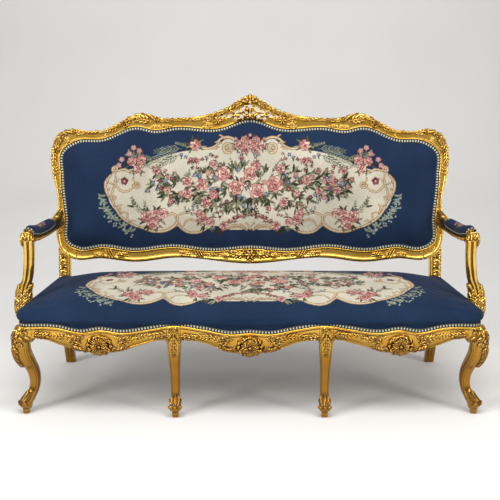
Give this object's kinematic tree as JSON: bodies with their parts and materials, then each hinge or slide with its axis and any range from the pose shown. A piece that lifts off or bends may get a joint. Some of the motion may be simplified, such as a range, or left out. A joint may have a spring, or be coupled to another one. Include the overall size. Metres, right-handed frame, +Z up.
{
  "type": "settee",
  "caption": "Open-arm settee with a carved and gilded serpentine frame, shell carvings, cabriole legs, and a padded seat, back and arm pads in floral tapestry.",
  "frame": {"origin": "on the floor, under the middle of the settee's overall width and depth", "axes": "+X to the settee's left hand as one faces its front from in front (to the right in the picture), +Y from its front to its back, +Z up"},
  "size_m": [1.806, 0.706, 1.1697],
  "materials": {
    "gilt_wood": "water-gilded carved wood, rubbed and toned with brown in the hollows",
    "bare_wood": "sawn beech, unfinished",
    "screw_steel": "plain countersunk wood screws",
    "tapestry": "navy woven tapestry with cream floral medallions",
    "braid": "scalloped furnishing braid in cream, grey green and navy",
    "back_cloth": "plain navy cloth",
    "jute": "woven jute",
    "stuffing": "foam and wadding",
    "dust_cloth": "thin black lining cloth"
  },
  "bodies": {
    "root": {"front_rail_centre": "gilt_wood", "front_rail_left": "gilt_wood", "front_rail_right": "gilt_wood", "front_leg_left": "gilt_wood", "front_leg_right": "gilt_wood", "front_leg_middle_left": "gilt_wood", "front_leg_middle_right": "gilt_wood", "crest_rail": "gilt_wood", "back_shoulder_left": "gilt_wood", "back_shoulder_right": "gilt_wood", "back_bottom_rail": "gilt_wood", "rear_stile_left": "gilt_wood", "rear_stile_right": "gilt_wood", "side_rail_left": "gilt_wood", "side_rail_right": "gilt_wood", "apron_shell_centre": "gilt_wood", "apron_shell_left": "gilt_wood", "apron_shell_right": "gilt_wood", "crest_shell": "gilt_wood", "crest_rosettes": "gilt_wood", "bottom_rail_rosette": "gilt_wood", "arm_left": "gilt_wood", "arm_right": "gilt_wood", "arm_post_left": "gilt_wood", "arm_post_right": "gilt_wood", "back_frame_tongues": "bare_wood", "rear_seat_rail": "bare_wood", "seat_cross_rail_left": "bare_wood", "seat_cross_rail_right": "bare_wood", "corner_blocks": "bare_wood", "corner_block_screws": "screw_steel", "arm_post_screws": "screw_steel", "arm_pad_left": "tapestry", "arm_pad_right": "tapestry", "seat_cover": "tapestry", "back_cover": "tapestry", "seat_gimp": "braid", "back_gimp": "braid", "outside_back_gimp": "braid", "outside_back": "back_cloth", "seat_webbing": "jute", "back_webbing": "jute", "seat_hessian": "jute", "back_hessian": "jute", "seat_foam": "stuffing", "back_pad": "stuffing", "dust_cover": "dust_cloth"}
  },
  "joints": []
}
